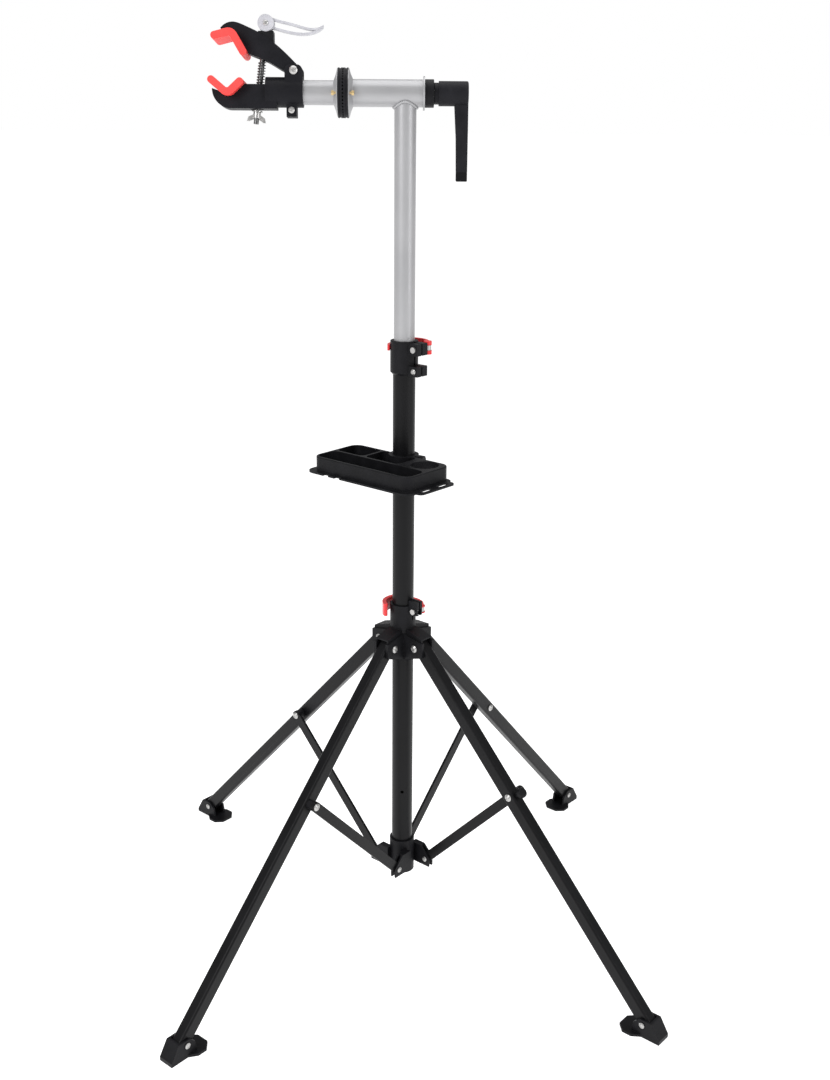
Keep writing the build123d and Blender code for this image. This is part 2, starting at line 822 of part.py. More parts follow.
make_rivets(
    "collar_pinch_bolt",
    [leg_plane(ear_heading, collar_bolt_reach, collar_lower_mid, -collar_ear_shift)],
    collar_ear_width,
    clamp_bolt_radius,
    clamp_bolt_head,
    clamp_bolt_radius,
)
make_lever(
    "collar_lever",
    collar_upper_mid,
    collar_bolt_reach,
    collar_eye_side,
    collar_lever_centre,
    lever_thickness,
    (lever_height, lever_tip_height),
    collar_lever_end,
)


# ---------------------------------------------------------------- tool tray

tray_floor = tray_top - tray_depth
tray_mid_y = tray_back + tray_width / 2


def tray_plane(height):
    """Level plane of the tray: x along its length, y outwards from the mast."""
    return Plane(
        origin=(0, 0, height),
        x_dir=(sin(radians(tray_heading)), -cos(radians(tray_heading)), 0),
        z_dir=(0, 0, 1),
    )


def screw_plane(distance):
    """Plane across the tray's clamp screw, this far from the mast's axis: z outwards."""
    turn = radians(tray_screw_turn)
    level = tray_plane(tray_top - tray_lug_height / 2)
    direction = -level.x_dir * cos(turn) - level.y_dir * sin(turn)
    return Plane(origin=level.origin + direction * distance, x_dir=(0, 0, 1), z_dir=direction)


inner_length = tray_length - 2 * tray_wall
pocket_back = tray_back + tray_wall
pocket_front = tray_back + tray_width - tray_wall
divider_y = pocket_front - tray_front_width
left_end = inner_length / 2

with BuildPart() as tray:
    with BuildSketch(tray_plane(tray_floor)):
        with Locations((0, tray_mid_y)):
            RectangleRounded(tray_length, tray_width, tray_corner)
    extrude(amount=tray_depth)
    fillet(tray.edges().group_by(Axis.Z)[-1], tray_rim_round)
    with BuildSketch(tray_plane(tray_floor)):
        with Locations((0, tray_mid_y + flange_margin / 2)):
            RectangleRounded(tray_length + 2 * flange_margin, tray_width + flange_margin, tray_corner)
        with Locations((tray_length / 2 + lobe_reach - lobe_radius, tray_mid_y)):
            Circle(lobe_radius)
        with Locations((tray_length / 2, tray_mid_y)):
            Rectangle(2 * (lobe_reach - lobe_radius), 2 * lobe_radius)
        with Locations((-tray_length / 2, tray_mid_y)):
            RectangleRounded(2 * slot_lobe_reach, slot_lobe_width, flange_margin)
        with Locations((tray_length / 2 + lobe_reach - lobe_radius, tray_mid_y)):
            Circle(lobe_hole, mode=Mode.SUBTRACT)
        with Locations(
            (-tray_length / 2 - slot_lobe_reach / 2, tray_mid_y - slot_spread),
            (-tray_length / 2 - slot_lobe_reach / 2, tray_mid_y + slot_spread),
        ):
            SlotOverall(slot_length, slot_width, rotation=90, mode=Mode.SUBTRACT)
        with Locations(*[(x, tray_back + tray_width + flange_margin) for x in notch_places]):
            Rectangle(notch_width, notch_width, mode=Mode.SUBTRACT)
    extrude(amount=flange_thickness)
    with BuildSketch(tray_plane(tray_floor + tray_wall)):
        with Locations((0, divider_y + tray_front_width / 2)):
            RectangleRounded(inner_length, tray_front_width, tray_corner - tray_wall)
        with Locations(((tray_divider + left_end) / 2, (pocket_back + divider_y - tray_wall) / 2)):
            RectangleRounded(left_end - tray_divider, divider_y - tray_wall - pocket_back, pocket_corner)
        with Locations((0, (pocket_back + divider_y - tray_wall) / 2)):
            RectangleRounded(
                2 * (tray_divider - tray_wall), divider_y - tray_wall - pocket_back, pocket_corner
            )
    extrude(amount=tray_depth, mode=Mode.SUBTRACT)
    with BuildSketch(tray_plane(tray_floor)):
        with Locations((cup_x, (pocket_back + divider_y - tray_wall) / 2)):
            RectangleRounded(
                2 * (left_end + cup_x), divider_y - tray_wall - pocket_back, pocket_corner
            )
        with Locations((cup_x, cup_y)):
            Circle(cup_radius + cup_wall, mode=Mode.SUBTRACT)
    extrude(amount=tray_depth - tray_wall, mode=Mode.SUBTRACT)
    with BuildSketch(tray_plane(tray_floor - overcut)):
        with Locations((cup_x, cup_y)):
            Circle(cup_radius)
    extrude(amount=tray_depth + 2 * overcut, mode=Mode.SUBTRACT)
    with BuildSketch(tray_plane(tray_floor)):
        Circle(tray_boss_radius)
    extrude(amount=tray_depth)
    with BuildSketch(screw_plane(0)):
        Rectangle(tray_lug_height, tray_lug_width)
    extrude(amount=tray_boss_radius + tray_lug_reach)
    with BuildSketch(tray_plane(tray_floor - overcut)):
        Circle(outer_mast_radius + sliding_gap + liner_wall + running_gap)
    extrude(amount=tray_depth + 2 * overcut, mode=Mode.SUBTRACT)
    with BuildSketch(screw_plane(0)):
        Circle(clamp_bolt_radius)
    extrude(amount=2 * tray_boss_radius, mode=Mode.SUBTRACT)
save(tray, "tray")

with BuildPart() as tray_liner:
    with BuildSketch(tray_plane(tray_floor - liner_lip)):
        Circle(tray_boss_radius)
    extrude(amount=liner_lip - sliding_gap)
    with BuildSketch(tray_plane(tray_floor - liner_lip)):
        Circle(outer_mast_radius + sliding_gap + liner_wall)
    extrude(amount=liner_lip + tray_depth)
    with BuildSketch(tray_plane(tray_floor - liner_lip)):
        Circle(outer_mast_radius + sliding_gap)
    extrude(amount=liner_lip + tray_depth, mode=Mode.SUBTRACT)
save(tray_liner, "tray_liner")

screw_tip = outer_mast_radius + 2 * sliding_gap + liner_wall + side_gap
knob_seat = tray_boss_radius + tray_lug_reach + side_gap
with BuildPart() as tray_screw:
    with BuildSketch(screw_plane(screw_tip)):
        Circle(clamp_bolt_radius)
    extrude(amount=knob_seat - screw_tip)
    with BuildSketch(screw_plane(knob_seat)):
        Circle(knob_radius)
        with PolarLocations(knob_scallop_circle, knob_lobes):
            Circle(knob_scallop, mode=Mode.SUBTRACT)
    extrude(amount=knob_radius)
save(tray_screw, "tray_screw")


# ---------------------------------------------------------------- head tube and lock rings

def across(x):
    """Plane square to the arm at x, on the arm's axis: z along +X."""
    return Plane(origin=(x, 0, head_height), x_dir=(0, 1, 0), z_dir=(1, 0, 0))


fixed_face = ring_centre + ring_gap / 2
moving_face = ring_centre - ring_gap / 2
fixed_back = fixed_face + ring_width
moving_back = moving_face - ring_width


def flare(plane, tube_radius, inner_radius):
    """The spun flange where a tube meets its lock ring, growing along the plane's z."""
    with BuildSketch(Plane(origin=plane.origin, x_dir=plane.z_dir, z_dir=plane.x_dir)) as section:
        with BuildLine():
            Polyline(
                (0, inner_radius),
                (0, flare_radius),
                (flare_lip, flare_radius),
                (flare_width / 2, (flare_radius + tube_radius) / 2),
                (flare_width, tube_radius),
                (flare_width + overcut, inner_radius),
                close=True,
            )
        make_face()
    revolve(section.sketch, axis=Axis(plane.origin, plane.z_dir))


def make_ring(name, back_plane):
    """Half of the toothed lock: its back on the flange, its teeth facing the other half."""
    with BuildPart() as ring:
        with BuildSketch(back_plane):
            Circle(ring_radius)
            Circle(ring_bore / 2, mode=Mode.SUBTRACT)
        extrude(amount=ring_width)
        with BuildSketch(back_plane.offset(ring_groove_width)):
            Circle(ring_radius + overcut)
            Circle(ring_radius - ring_groove, mode=Mode.SUBTRACT)
        extrude(amount=ring_groove_width, mode=Mode.SUBTRACT)
        with BuildSketch(back_plane.offset(ring_width - tooth_depth)):
            with PolarLocations((tooth_root + ring_radius) / 2 + overcut, tooth_count):
                Rectangle(ring_radius - tooth_root + 2 * overcut, tooth_pitch / 2)
        extrude(amount=2 * tooth_depth, mode=Mode.SUBTRACT)
        with BuildSketch(back_plane):
            with PolarLocations(ring_screw_circle, ring_screw_count, start_angle=ring_screw_start):
                Circle(ring_screw_radius)
        extrude(amount=ring_width / 2, mode=Mode.SUBTRACT)
    save(ring, name)


def make_ring_screws(name, back_plane):
    """Hex-headed screws through the flange into the ring, from the ring's back plane."""
    with BuildPart() as screws:
        with BuildSketch(back_plane.offset(-ring_screw_seat)):
            with PolarLocations(ring_screw_circle, ring_screw_count, start_angle=ring_screw_start):
                Circle(ring_screw_radius)
        extrude(amount=ring_screw_seat + ring_width / 2)
        with BuildSketch(back_plane.offset(-ring_screw_seat)):
            with PolarLocations(ring_screw_circle, ring_screw_count, start_angle=ring_screw_start):
                RegularPolygon(ring_screw_head, 6)
        extrude(amount=-ring_screw_head_height)
    save(screws, name)


def screw_holes(back_plane):
    """Holes for the ring screws, in the tube being built."""
    with BuildSketch(back_plane) as holes:
        with PolarLocations(ring_screw_circle, ring_screw_count, start_angle=ring_screw_start):
            Circle(ring_screw_radius)
    extrude(holes.sketch, amount=-2 * flare_width, mode=Mode.SUBTRACT)


def facing(plane):
    """The same plane looking the other way, with its x kept."""
    return Plane(origin=plane.origin, x_dir=plane.x_dir, z_dir=-plane.z_dir)


head_bore = head_tube_radius - head_tube_wall
fixed_ring_back = facing(across(fixed_back))
moving_ring_back = across(moving_back)

with BuildPart() as head_tube:
    with BuildSketch(across(fixed_back)):
        Circle(head_tube_radius)
        Circle(head_bore, mode=Mode.SUBTRACT)
    extrude(amount=head_tube_end - fixed_back)
    flare(across(fixed_back), head_tube_radius, head_bore)
    with BuildSketch(across(head_tube_end)):
        Circle(end_flange_radius)
        Circle(head_bore, mode=Mode.SUBTRACT)
    extrude(amount=end_flange_width)
    screw_holes(fixed_ring_back)
save(head_tube, "head_tube")

make_ring("fixed_ring", fixed_ring_back)
make_ring_screws("fixed_ring_screws", fixed_ring_back)

make_ring("moving_ring", moving_ring_back)
make_ring_screws("moving_ring_screws", moving_ring_back)

arm_bore = arm_radius - arm_wall
with BuildPart() as arm_tube:
    with BuildSketch(across(arm_end)):
        Circle(arm_radius)
        Circle(arm_bore, mode=Mode.SUBTRACT)
    extrude(amount=moving_back - arm_end)
    flare(facing(across(moving_back)), arm_radius, arm_bore)
    screw_holes(moving_ring_back)
save(arm_tube, "arm_tube")

bush_start = head_tube_end + end_flange_width
bush_end = bush_start + bush_width
neck_start = bush_end + side_gap
crank_start = neck_start + neck_width
crank_end = crank_start + crank_hub_width

with BuildPart() as head_bush:
    with BuildSketch(across(bush_start)):
        Circle(bush_radius)
    extrude(amount=bush_width)
    fillet(head_bush.edges().sort_by(Axis.X)[-1], 1)
    with BuildSketch(across(bush_start)):
        Circle(head_bore)
    extrude(amount=-bush_spigot)
    cut_hole(across(bush_start), rod_radius + sliding_gap, 4 * bush_width)
save(head_bush, "head_bush")

with BuildPart() as tension_rod:
    with BuildSketch(across(rod_plug_start)):
        Circle(arm_bore)
    extrude(amount=rod_plug_length)
    with BuildSketch(across(rod_plug_start)):
        Circle(rod_radius)
    extrude(amount=crank_end - crank_wall - rod_plug_start)
save(tension_rod, "tension_rod")

crank_plane = Plane(origin=(0, 0, head_height), x_dir=(1, 0, 0), z_dir=(0, -1, 0))
crank_inner_root = crank_end - crank_root_width
crank_inner_tip = crank_end - crank_tip_width

with BuildPart() as crank_handle:
    with BuildSketch(across(neck_start)):
        Circle(neck_radius)
    extrude(amount=neck_width)
    with BuildSketch(across(crank_start)):
        Circle(crank_hub_radius)
    extrude(amount=crank_hub_width)
    fillet(crank_handle.edges().filter_by(GeomType.CIRCLE).sort_by(Axis.X)[-1], 2.5)
    with BuildSketch(crank_plane):
        with BuildLine():
            Polyline(
                (crank_inner_root, 0),
                (crank_end, 0),
                (crank_end, crank_cap_height - crank_drop),
                (crank_inner_tip, crank_cap_height - crank_drop),
                (crank_inner_tip - crank_waist, -crank_drop / 2),
                close=True,
            )
        make_face()
    extrude(amount=crank_depth / 2, both=True)
    with BuildSketch(across(neck_start)):
        Circle(rod_radius + running_gap)
    extrude(amount=crank_end - crank_wall / 2 - neck_start, mode=Mode.SUBTRACT)
save(crank_handle, "crank_handle")

with BuildPart() as crank_cap:
    with BuildSketch(Plane.XY.offset(head_height - crank_drop)):
        with Locations(((crank_end + crank_inner_tip) / 2, 0)):
            RectangleRounded(crank_tip_width, crank_depth, 2.5)
    extrude(amount=crank_cap_height)
    fillet(crank_cap.edges().group_by(Axis.Z)[0], 1.5)
save(crank_cap, "crank_cap")


# ---------------------------------------------------------------- clamp head

tilt = radians(clamp_tilt)
clamp_plane = Plane(origin=(0, 0, head_height), x_dir=(1, 0, 0), z_dir=(0, -cos(tilt), sin(tilt)))


def clamp_pin(x, y):
    """Plane across the clamp at a pin: z square to the clamp's own plane."""
    return Plane(
        origin=clamp_plane.from_local_coords((x, y, 0)),
        x_dir=clamp_plane.x_dir,
        z_dir=clamp_plane.z_dir,
    )


rod_length = sqrt((cam_x - nut_x) ** 2 + (cam_y - nut_y) ** 2)
rod_down = (clamp_pin(nut_x, nut_y).origin - clamp_pin(cam_x, cam_y).origin) / rod_length
rod_plane = Plane(origin=clamp_pin(cam_x, cam_y).origin, x_dir=clamp_plane.z_dir, z_dir=rod_down)


def pad_outline(points):
    """Outline of a bent pad with rounded ends, along its middle line."""
    with BuildSketch(clamp_plane) as outline:
        with BuildLine():
            middle = FilletPolyline(*points, radius=pad_bend)
            offset(middle, amount=pad_thickness / 2)
        make_face()
    return outline.sketch


def make_pad(name, points):
    with BuildPart() as pad:
        extrude(pad_outline(points), amount=pad_depth / 2, both=True)
    save(pad, name)


make_pad("lower_pad", lower_pad_path)
make_pad("upper_pad", upper_pad_path)

ear_outer_half = arm_half_width + side_gap + hinge_ear_wall
slot_from_nut = rod_swing / 2

with BuildPart() as lower_jaw:
    with BuildSketch(across(socket_start)):
        Circle(socket_radius)
    extrude(amount=socket_end - socket_start)
    with BuildSketch(clamp_plane):
        with BuildLine():
            Line((jaw_nose_x, jaw_bottom), (jaw_back, jaw_bottom))
            Line((jaw_back, jaw_bottom), (jaw_back, jaw_top))
            Line((jaw_back, jaw_top), (lower_pad_path[2][0], jaw_top))
            Line((lower_pad_path[2][0], jaw_top), lower_pad_path[1])
            Line(lower_pad_path[1], (jaw_front, jaw_lip))
            ThreePointArc((jaw_front, jaw_lip), jaw_nose_mid, (jaw_nose_x, jaw_bottom))
        make_face()
    extrude(amount=jaw_width / 2, both=True)
    with BuildSketch(clamp_plane):
        with Locations((hinge_x, (hinge_y + hinge_ear_top) / 2)):
            RectangleRounded(2 * hinge_ear_half, hinge_y + hinge_ear_top, hinge_ear_round)
    extrude(amount=ear_outer_half, both=True)
    with BuildSketch(clamp_plane):
        with Locations((pinch_x, -pinch_drop / 2)):
            Rectangle(2 * pinch_half, pinch_drop)
    extrude(amount=pinch_depth / 2, both=True)
    with BuildSketch(clamp_plane):
        with Locations((hinge_x, socket_radius + hinge_y)):
            Rectangle(4 * hinge_ear_half, 2 * hinge_y)
    extrude(amount=arm_half_width + side_gap, both=True, mode=Mode.SUBTRACT)
    with BuildSketch(clamp_plane):
        with Locations((socket_end, -pinch_drop)):
            Rectangle(2 * (socket_end - pinch_slit), 2 * pinch_drop)
    extrude(amount=pinch_gap / 2, both=True, mode=Mode.SUBTRACT)
    extrude(pad_outline(lower_pad_path), amount=jaw_width, both=True, mode=Mode.SUBTRACT)
    with BuildSketch(across(arm_end)):
        Circle(arm_radius)
    extrude(amount=2 * (socket_end - arm_end), mode=Mode.SUBTRACT)
    with BuildSketch(rod_plane.offset(rod_length)):
        RectangleRounded(rod_slot_width, rod_swing, rod_slot_round)
    extrude(amount=-rod_length / 2, mode=Mode.SUBTRACT)
    cut_hole(clamp_pin(hinge_x, hinge_y), hinge_radius, 4 * ear_outer_half)
    cut_hole(clamp_pin(pinch_x, pinch_y), clamp_bolt_radius, 4 * ear_outer_half)
save(lower_jaw, "lower_jaw")

make_rivets(
    "hinge_bolt",
    [clamp_pin(hinge_x, hinge_y)],
    2 * ear_outer_half,
    hinge_radius,
    rivet_head_radius,
    rivet_head_height,
)
make_rivets(
    "pinch_bolt",
    [clamp_pin(pinch_x, pinch_y)],
    pinch_depth,
    clamp_bolt_radius,
    clamp_bolt_head,
    clamp_bolt_radius,
)

with BuildPart() as upper_jaw:
    with BuildSketch(clamp_plane):
        with BuildLine():
            Spline(*arm_top_points)
            Line(arm_top_points[-1], upper_pad_path[1])
            Line(upper_pad_path[1], upper_pad_path[2])
            Line(upper_pad_path[2], arm_bottom_points[0])
            Spline(*arm_bottom_points)
            Line(arm_bottom_points[-1], arm_top_points[0])
        make_face()
        with Locations((hinge_x, hinge_y)):
            Circle(arm_root_radius)
    extrude(amount=arm_half_width, both=True)
    extrude(pad_outline(upper_pad_path), amount=jaw_width, both=True, mode=Mode.SUBTRACT)
    with BuildSketch(rod_plane):
        RectangleRounded(rod_slot_width, rod_swing, rod_slot_round)
    extrude(amount=rod_length / 2, mode=Mode.SUBTRACT)
    cut_hole(clamp_pin(hinge_x, hinge_y), hinge_radius + running_gap, 4 * ear_outer_half)
save(upper_jaw, "upper_jaw")

with BuildPart() as cam_saddle:
    with BuildSketch(clamp_plane):
        with Locations((cam_x, (saddle_top + saddle_bottom) / 2)):
            Rectangle(2 * saddle_half, saddle_top - saddle_bottom)
        with Locations((cam_x, cam_y)):
            Circle(cam_radius + sliding_gap, mode=Mode.SUBTRACT)
    extrude(amount=saddle_width / 2, both=True)
    with BuildSketch(rod_plane):
        RectangleRounded(rod_slot_width, saddle_swing, rod_slot_round)
    extrude(amount=rod_length / 2, mode=Mode.SUBTRACT)
    add(upper_jaw.part, mode=Mode.SUBTRACT)
save(cam_saddle, "cam_saddle")

with BuildPart() as clamp_rod:
    with BuildSketch(clamp_pin(cam_x, cam_y)):
        Circle(rod_eye_radius)
    extrude(amount=cam_fork_gap / 2 - side_gap / 2, both=True)
    with BuildSketch(rod_plane):
        Circle(clamp_rod_radius)
    extrude(amount=rod_length + clamp_rod_tail)
    cut_hole(clamp_pin(cam_x, cam_y), cam_pin_radius, 2 * cam_width)
save(clamp_rod, "clamp_rod")

make_rivets(
    "cam_pin",
    [clamp_pin(cam_x, cam_y)],
    cam_width + 2 * sliding_gap,
    cam_pin_radius,
    cam_pin_head,
    cam_pin_head_height,
)

with BuildPart() as cam_lever:
    with BuildSketch(clamp_pin(cam_x, cam_y)):
        Circle(cam_radius)
    extrude(amount=cam_width / 2, both=True)
    for prong in (upper_prong, lower_prong):
        top_points = [(x, y + prong_thickness / 2) for x, y in prong]
        bottom_points = [(x, y - prong_thickness / 2) for x, y in prong]
        with BuildSketch(clamp_plane):
            with BuildLine():
                Spline(*top_points)
                Line(top_points[-1], bottom_points[-1])
                Spline(*bottom_points)
                Line(bottom_points[0], top_points[0])
            make_face()
        extrude(amount=prong_width, both=True)
    with BuildSketch(clamp_pin(cam_x, cam_y)):
        Circle(fork_depth)
        with Locations((-fork_depth, 0)):
            Rectangle(2 * fork_depth, 4 * cam_radius)
        with Locations((0, -fork_depth)):
            Rectangle(2 * fork_depth, 2 * fork_depth)
    extrude(amount=cam_fork_gap / 2, both=True, mode=Mode.SUBTRACT)
    cut_hole(clamp_pin(cam_x, cam_y), cam_pin_radius + running_gap, 2 * cam_width)
save(cam_lever, "cam_lever")

spring_start = (jaw_top + spring_seat - nut_y) / cos(radians(rod_lean))
spring_plane = facing(rod_plane.offset(rod_length - spring_start))
with BuildPart() as clamp_spring:
    with BuildLine():
        coil = Helix(
            spring_pitch,
            spring_length,
            spring_radius,
            center=spring_plane.origin,
            direction=spring_plane.z_dir,
        )
    with BuildSketch(Plane(coil ^ 0)):
        Circle(spring_wire)
    sweep(is_frenet=True)
save(clamp_spring, "clamp_spring")

washer_start = (cam_y - jaw_bottom) / cos(radians(rod_lean)) + nut_gap
with BuildPart() as nut_washer:
    with BuildSketch(rod_plane.offset(washer_start)):
        Circle(washer_radius)
        Circle(clamp_rod_radius + running_gap, mode=Mode.SUBTRACT)
    extrude(amount=washer_thickness)
save(nut_washer, "nut_washer")

with BuildPart() as wing_nut:
    with BuildSketch(rod_plane.offset(washer_start + washer_thickness + sliding_gap)):
        Circle(nut_radius)
    extrude(amount=nut_height)
    wing_origin = rod_plane.offset(washer_start + washer_thickness + sliding_gap)
    with BuildSketch(Plane(origin=wing_origin.origin, x_dir=wing_origin.y_dir, z_dir=wing_origin.x_dir)):
        with BuildLine():
            Polyline(
                (0, wing_root),
                (wing_span / 2 - wing_taper, wing_drop),
                (wing_span / 2, wing_drop + wing_width),
                (wing_shoulder, wing_drop + wing_width),
                (0, nut_height),
                (-wing_shoulder, wing_drop + wing_width),
                (-wing_span / 2, wing_drop + wing_width),
                (wing_taper - wing_span / 2, wing_drop),
                close=True,
            )
        make_face()
    extrude(amount=wing_thickness / 2, both=True)
    with BuildSketch(rod_plane):
        Circle(clamp_rod_radius + running_gap)
    extrude(amount=2 * rod_length, mode=Mode.SUBTRACT)
save(wing_nut, "wing_nut")
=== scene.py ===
"""Looks of a folding repair stand: materials, weld bead, bolt sockets, light and camera."""

import json
from math import cos, pi, radians, sin, sqrt

import bmesh
import bpy
from mathutils import Matrix, Vector


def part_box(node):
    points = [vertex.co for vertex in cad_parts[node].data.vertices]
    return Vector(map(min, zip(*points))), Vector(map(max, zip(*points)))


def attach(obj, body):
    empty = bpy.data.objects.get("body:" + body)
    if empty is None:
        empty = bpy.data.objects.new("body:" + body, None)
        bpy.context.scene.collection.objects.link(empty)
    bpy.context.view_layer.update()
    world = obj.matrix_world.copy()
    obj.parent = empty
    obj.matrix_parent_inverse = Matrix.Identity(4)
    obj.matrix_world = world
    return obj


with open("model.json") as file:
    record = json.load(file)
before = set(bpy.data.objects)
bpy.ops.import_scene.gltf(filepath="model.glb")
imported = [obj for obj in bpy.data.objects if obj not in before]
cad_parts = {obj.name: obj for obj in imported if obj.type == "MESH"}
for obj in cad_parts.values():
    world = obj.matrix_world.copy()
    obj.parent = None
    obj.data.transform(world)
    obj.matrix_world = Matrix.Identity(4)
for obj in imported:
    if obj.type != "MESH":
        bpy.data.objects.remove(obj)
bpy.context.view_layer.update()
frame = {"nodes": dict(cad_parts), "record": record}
nodes = frame["nodes"]

# ------------------------------------------------------------------ materials


BEVEL_SAMPLES = 4
EDGE_COSINES = (0.9, 0.995)  # between the softened and the true normal, edge to flat face


def new_material(name):
    material = bpy.data.materials.new(name)
    material.use_nodes = True
    tree = material.node_tree
    return material, tree, tree.nodes["Principled BSDF"]


def noise(tree, coordinates, scale, detail=3.0, stretch=(1, 1, 1)):
    """Noise over the object, stretched per axis."""
    mapping = tree.nodes.new("ShaderNodeMapping")
    mapping.inputs["Scale"].default_value = stretch
    texture = tree.nodes.new("ShaderNodeTexNoise")
    texture.inputs["Scale"].default_value = scale
    texture.inputs["Detail"].default_value = detail
    tree.links.new(coordinates, mapping.inputs["Vector"])
    tree.links.new(mapping.outputs["Vector"], texture.inputs["Vector"])
    return texture.outputs["Fac"]


def spread(tree, factor, low, high, start=0.3, end=0.7):
    """Maps a factor to a range of values."""
    mapping = tree.nodes.new("ShaderNodeMapRange")
    mapping.inputs["From Min"].default_value = start
    mapping.inputs["From Max"].default_value = end
    mapping.inputs["To Min"].default_value = low
    mapping.inputs["To Max"].default_value = high
    tree.links.new(factor, mapping.inputs["Value"])
    return mapping.outputs["Result"]


def mix(tree, factor, first, second):
    """Mixes two colours; either may be a socket or a colour."""
    node = tree.nodes.new("ShaderNodeMix")
    node.data_type = "RGBA"
    tree.links.new(factor, node.inputs[0])
    for value, socket in ((first, node.inputs[6]), (second, node.inputs[7])):
        if isinstance(value, bpy.types.NodeSocket):
            tree.links.new(value, socket)
        else:
            socket.default_value = (*value, 1)
    return node.outputs[2]


def edge_mask(tree, radius):
    """White along sharp edges, and the softened normal that shows them."""
    bevel = tree.nodes.new("ShaderNodeBevel")
    bevel.samples = BEVEL_SAMPLES
    bevel.inputs["Radius"].default_value = radius
    geometry = tree.nodes.new("ShaderNodeNewGeometry")
    dot = tree.nodes.new("ShaderNodeVectorMath")
    dot.operation = "DOT_PRODUCT"
    tree.links.new(bevel.outputs["Normal"], dot.inputs[0])
    tree.links.new(geometry.outputs["Normal"], dot.inputs[1])
    mask = spread(tree, dot.outputs["Value"], 1.0, 0.0, *EDGE_COSINES)
    return mask, bevel.outputs["Normal"]


def make_finish(name, colour, tone, edge, rough, metallic, grain, bump, **extra):
    """A material with mottled colour, uneven gloss, worn edges and surface grain.

    tone is the second colour of the mottling, rough the two roughness limits, grain the
    grain's scale, stretch its direction and bump the grain's depth in metres.
    """
    material, tree, shader = new_material(name)
    coordinates = tree.nodes.new("ShaderNodeTexCoord").outputs["Object"]
    stretch = extra.get("stretch", (1, 1, 1))
    fine = noise(tree, coordinates, grain, 2.0, stretch)
    broad = noise(tree, coordinates, extra.get("patch", 30.0), 4.0, stretch)
    mask, soft = edge_mask(tree, extra.get("edge_radius", 0.0006))
    worn = tree.nodes.new("ShaderNodeMath")
    worn.operation = "MULTIPLY"
    tree.links.new(mask, worn.inputs[0])
    tree.links.new(spread(tree, broad, 0.2, extra.get("wear", 0.7)), worn.inputs[1])
    mottled = mix(tree, spread(tree, broad, 0.0, 1.0), colour, tone)
    tree.links.new(mix(tree, worn.outputs[0], mottled, edge), shader.inputs["Base Color"])
    tree.links.new(spread(tree, broad, *rough), shader.inputs["Roughness"])
    height = tree.nodes.new("ShaderNodeBump")
    height.inputs["Strength"].default_value = 1.0
    height.inputs["Distance"].default_value = bump
    tree.links.new(fine, height.inputs["Height"])
    tree.links.new(soft, height.inputs["Normal"])
    tree.links.new(height.outputs["Normal"], shader.inputs["Normal"])
    shader.inputs["Metallic"].default_value = metallic
    for socket, value in extra.get("sockets", {}).items():
        shader.inputs[socket].default_value = value
    return material


DULL = {"Specular IOR Level": 0.12}
BLACK_PAINT = make_finish(
    "black_paint", (0.0035, 0.0035, 0.004), (0.006, 0.006, 0.007), (0.03, 0.03, 0.033),
    (0.30, 0.42), 0.0, 900.0, 0.00012, patch=12.0, sockets={"Specular IOR Level": 0.16},
)
BLACK_PLASTIC = make_finish(
    "black_plastic", (0.006, 0.006, 0.007), (0.010, 0.010, 0.012), (0.045, 0.045, 0.05),
    (0.40, 0.52), 0.0, 1600.0, 0.00014, patch=40.0, sockets=DULL,
)
BLACK_GRIP = make_finish(
    "black_grip", (0.008, 0.008, 0.010), (0.013, 0.013, 0.016), (0.04, 0.04, 0.045),
    (0.48, 0.62), 0.0, 1300.0, 0.0002, patch=50.0, sockets=DULL,
)
BLACK_CAP = make_finish(
    "black_cap", (0.003, 0.003, 0.004), (0.005, 0.005, 0.006), (0.015, 0.015, 0.017),
    (0.55, 0.65), 0.0, 1500.0, 0.0001, sockets=DULL,
)
BLACK_METAL = make_finish(
    "black_metal", (0.006, 0.006, 0.008), (0.010, 0.010, 0.013), (0.045, 0.045, 0.05),
    (0.42, 0.55), 0.0, 1100.0, 0.00025, patch=35.0, sockets=DULL,
)
SILVER_TUBE = make_finish(
    "silver_tube", (0.35, 0.35, 0.36), (0.39, 0.39, 0.40), (0.5, 0.5, 0.51),
    (0.34, 0.44), 0.45, 1800.0, 0.00008, patch=14.0,
)
ZINC = make_finish(
    "zinc", (0.40, 0.40, 0.395), (0.50, 0.49, 0.48), (0.62, 0.62, 0.61),
    (0.22, 0.40), 0.85, 700.0, 0.0001, patch=120.0,
)
DARK_STEEL = make_finish(
    "dark_steel", (0.10, 0.10, 0.10), (0.15, 0.15, 0.15), (0.3, 0.3, 0.3),
    (0.25, 0.4), 0.85, 900.0, 0.0001, patch=90.0,
)
CAST_SILVER = make_finish(
    "cast_silver", (0.50, 0.50, 0.54), (0.57, 0.57, 0.61), (0.7, 0.7, 0.73),
    (0.3, 0.42), 0.3, 1500.0, 0.0001, patch=60.0,
)
RED_RUBBER = make_finish(
    "red_rubber", (0.78, 0.040, 0.036), (0.85, 0.055, 0.048), (0.92, 0.12, 0.10),
    (0.5, 0.62), 0.0, 1400.0, 0.0002, patch=45.0,
)
RED_LEVER = make_finish(
    "red_lever", (0.70, 0.018, 0.022), (0.78, 0.026, 0.03), (0.9, 0.12, 0.12),
    (0.25, 0.38), 0.0, 900.0, 0.0001, patch=60.0,
)
BRASS = make_finish(
    "brass", (0.52, 0.38, 0.18), (0.60, 0.46, 0.25), (0.78, 0.68, 0.45),
    (0.25, 0.4), 0.9, 1200.0, 0.0001, patch=150.0,
)

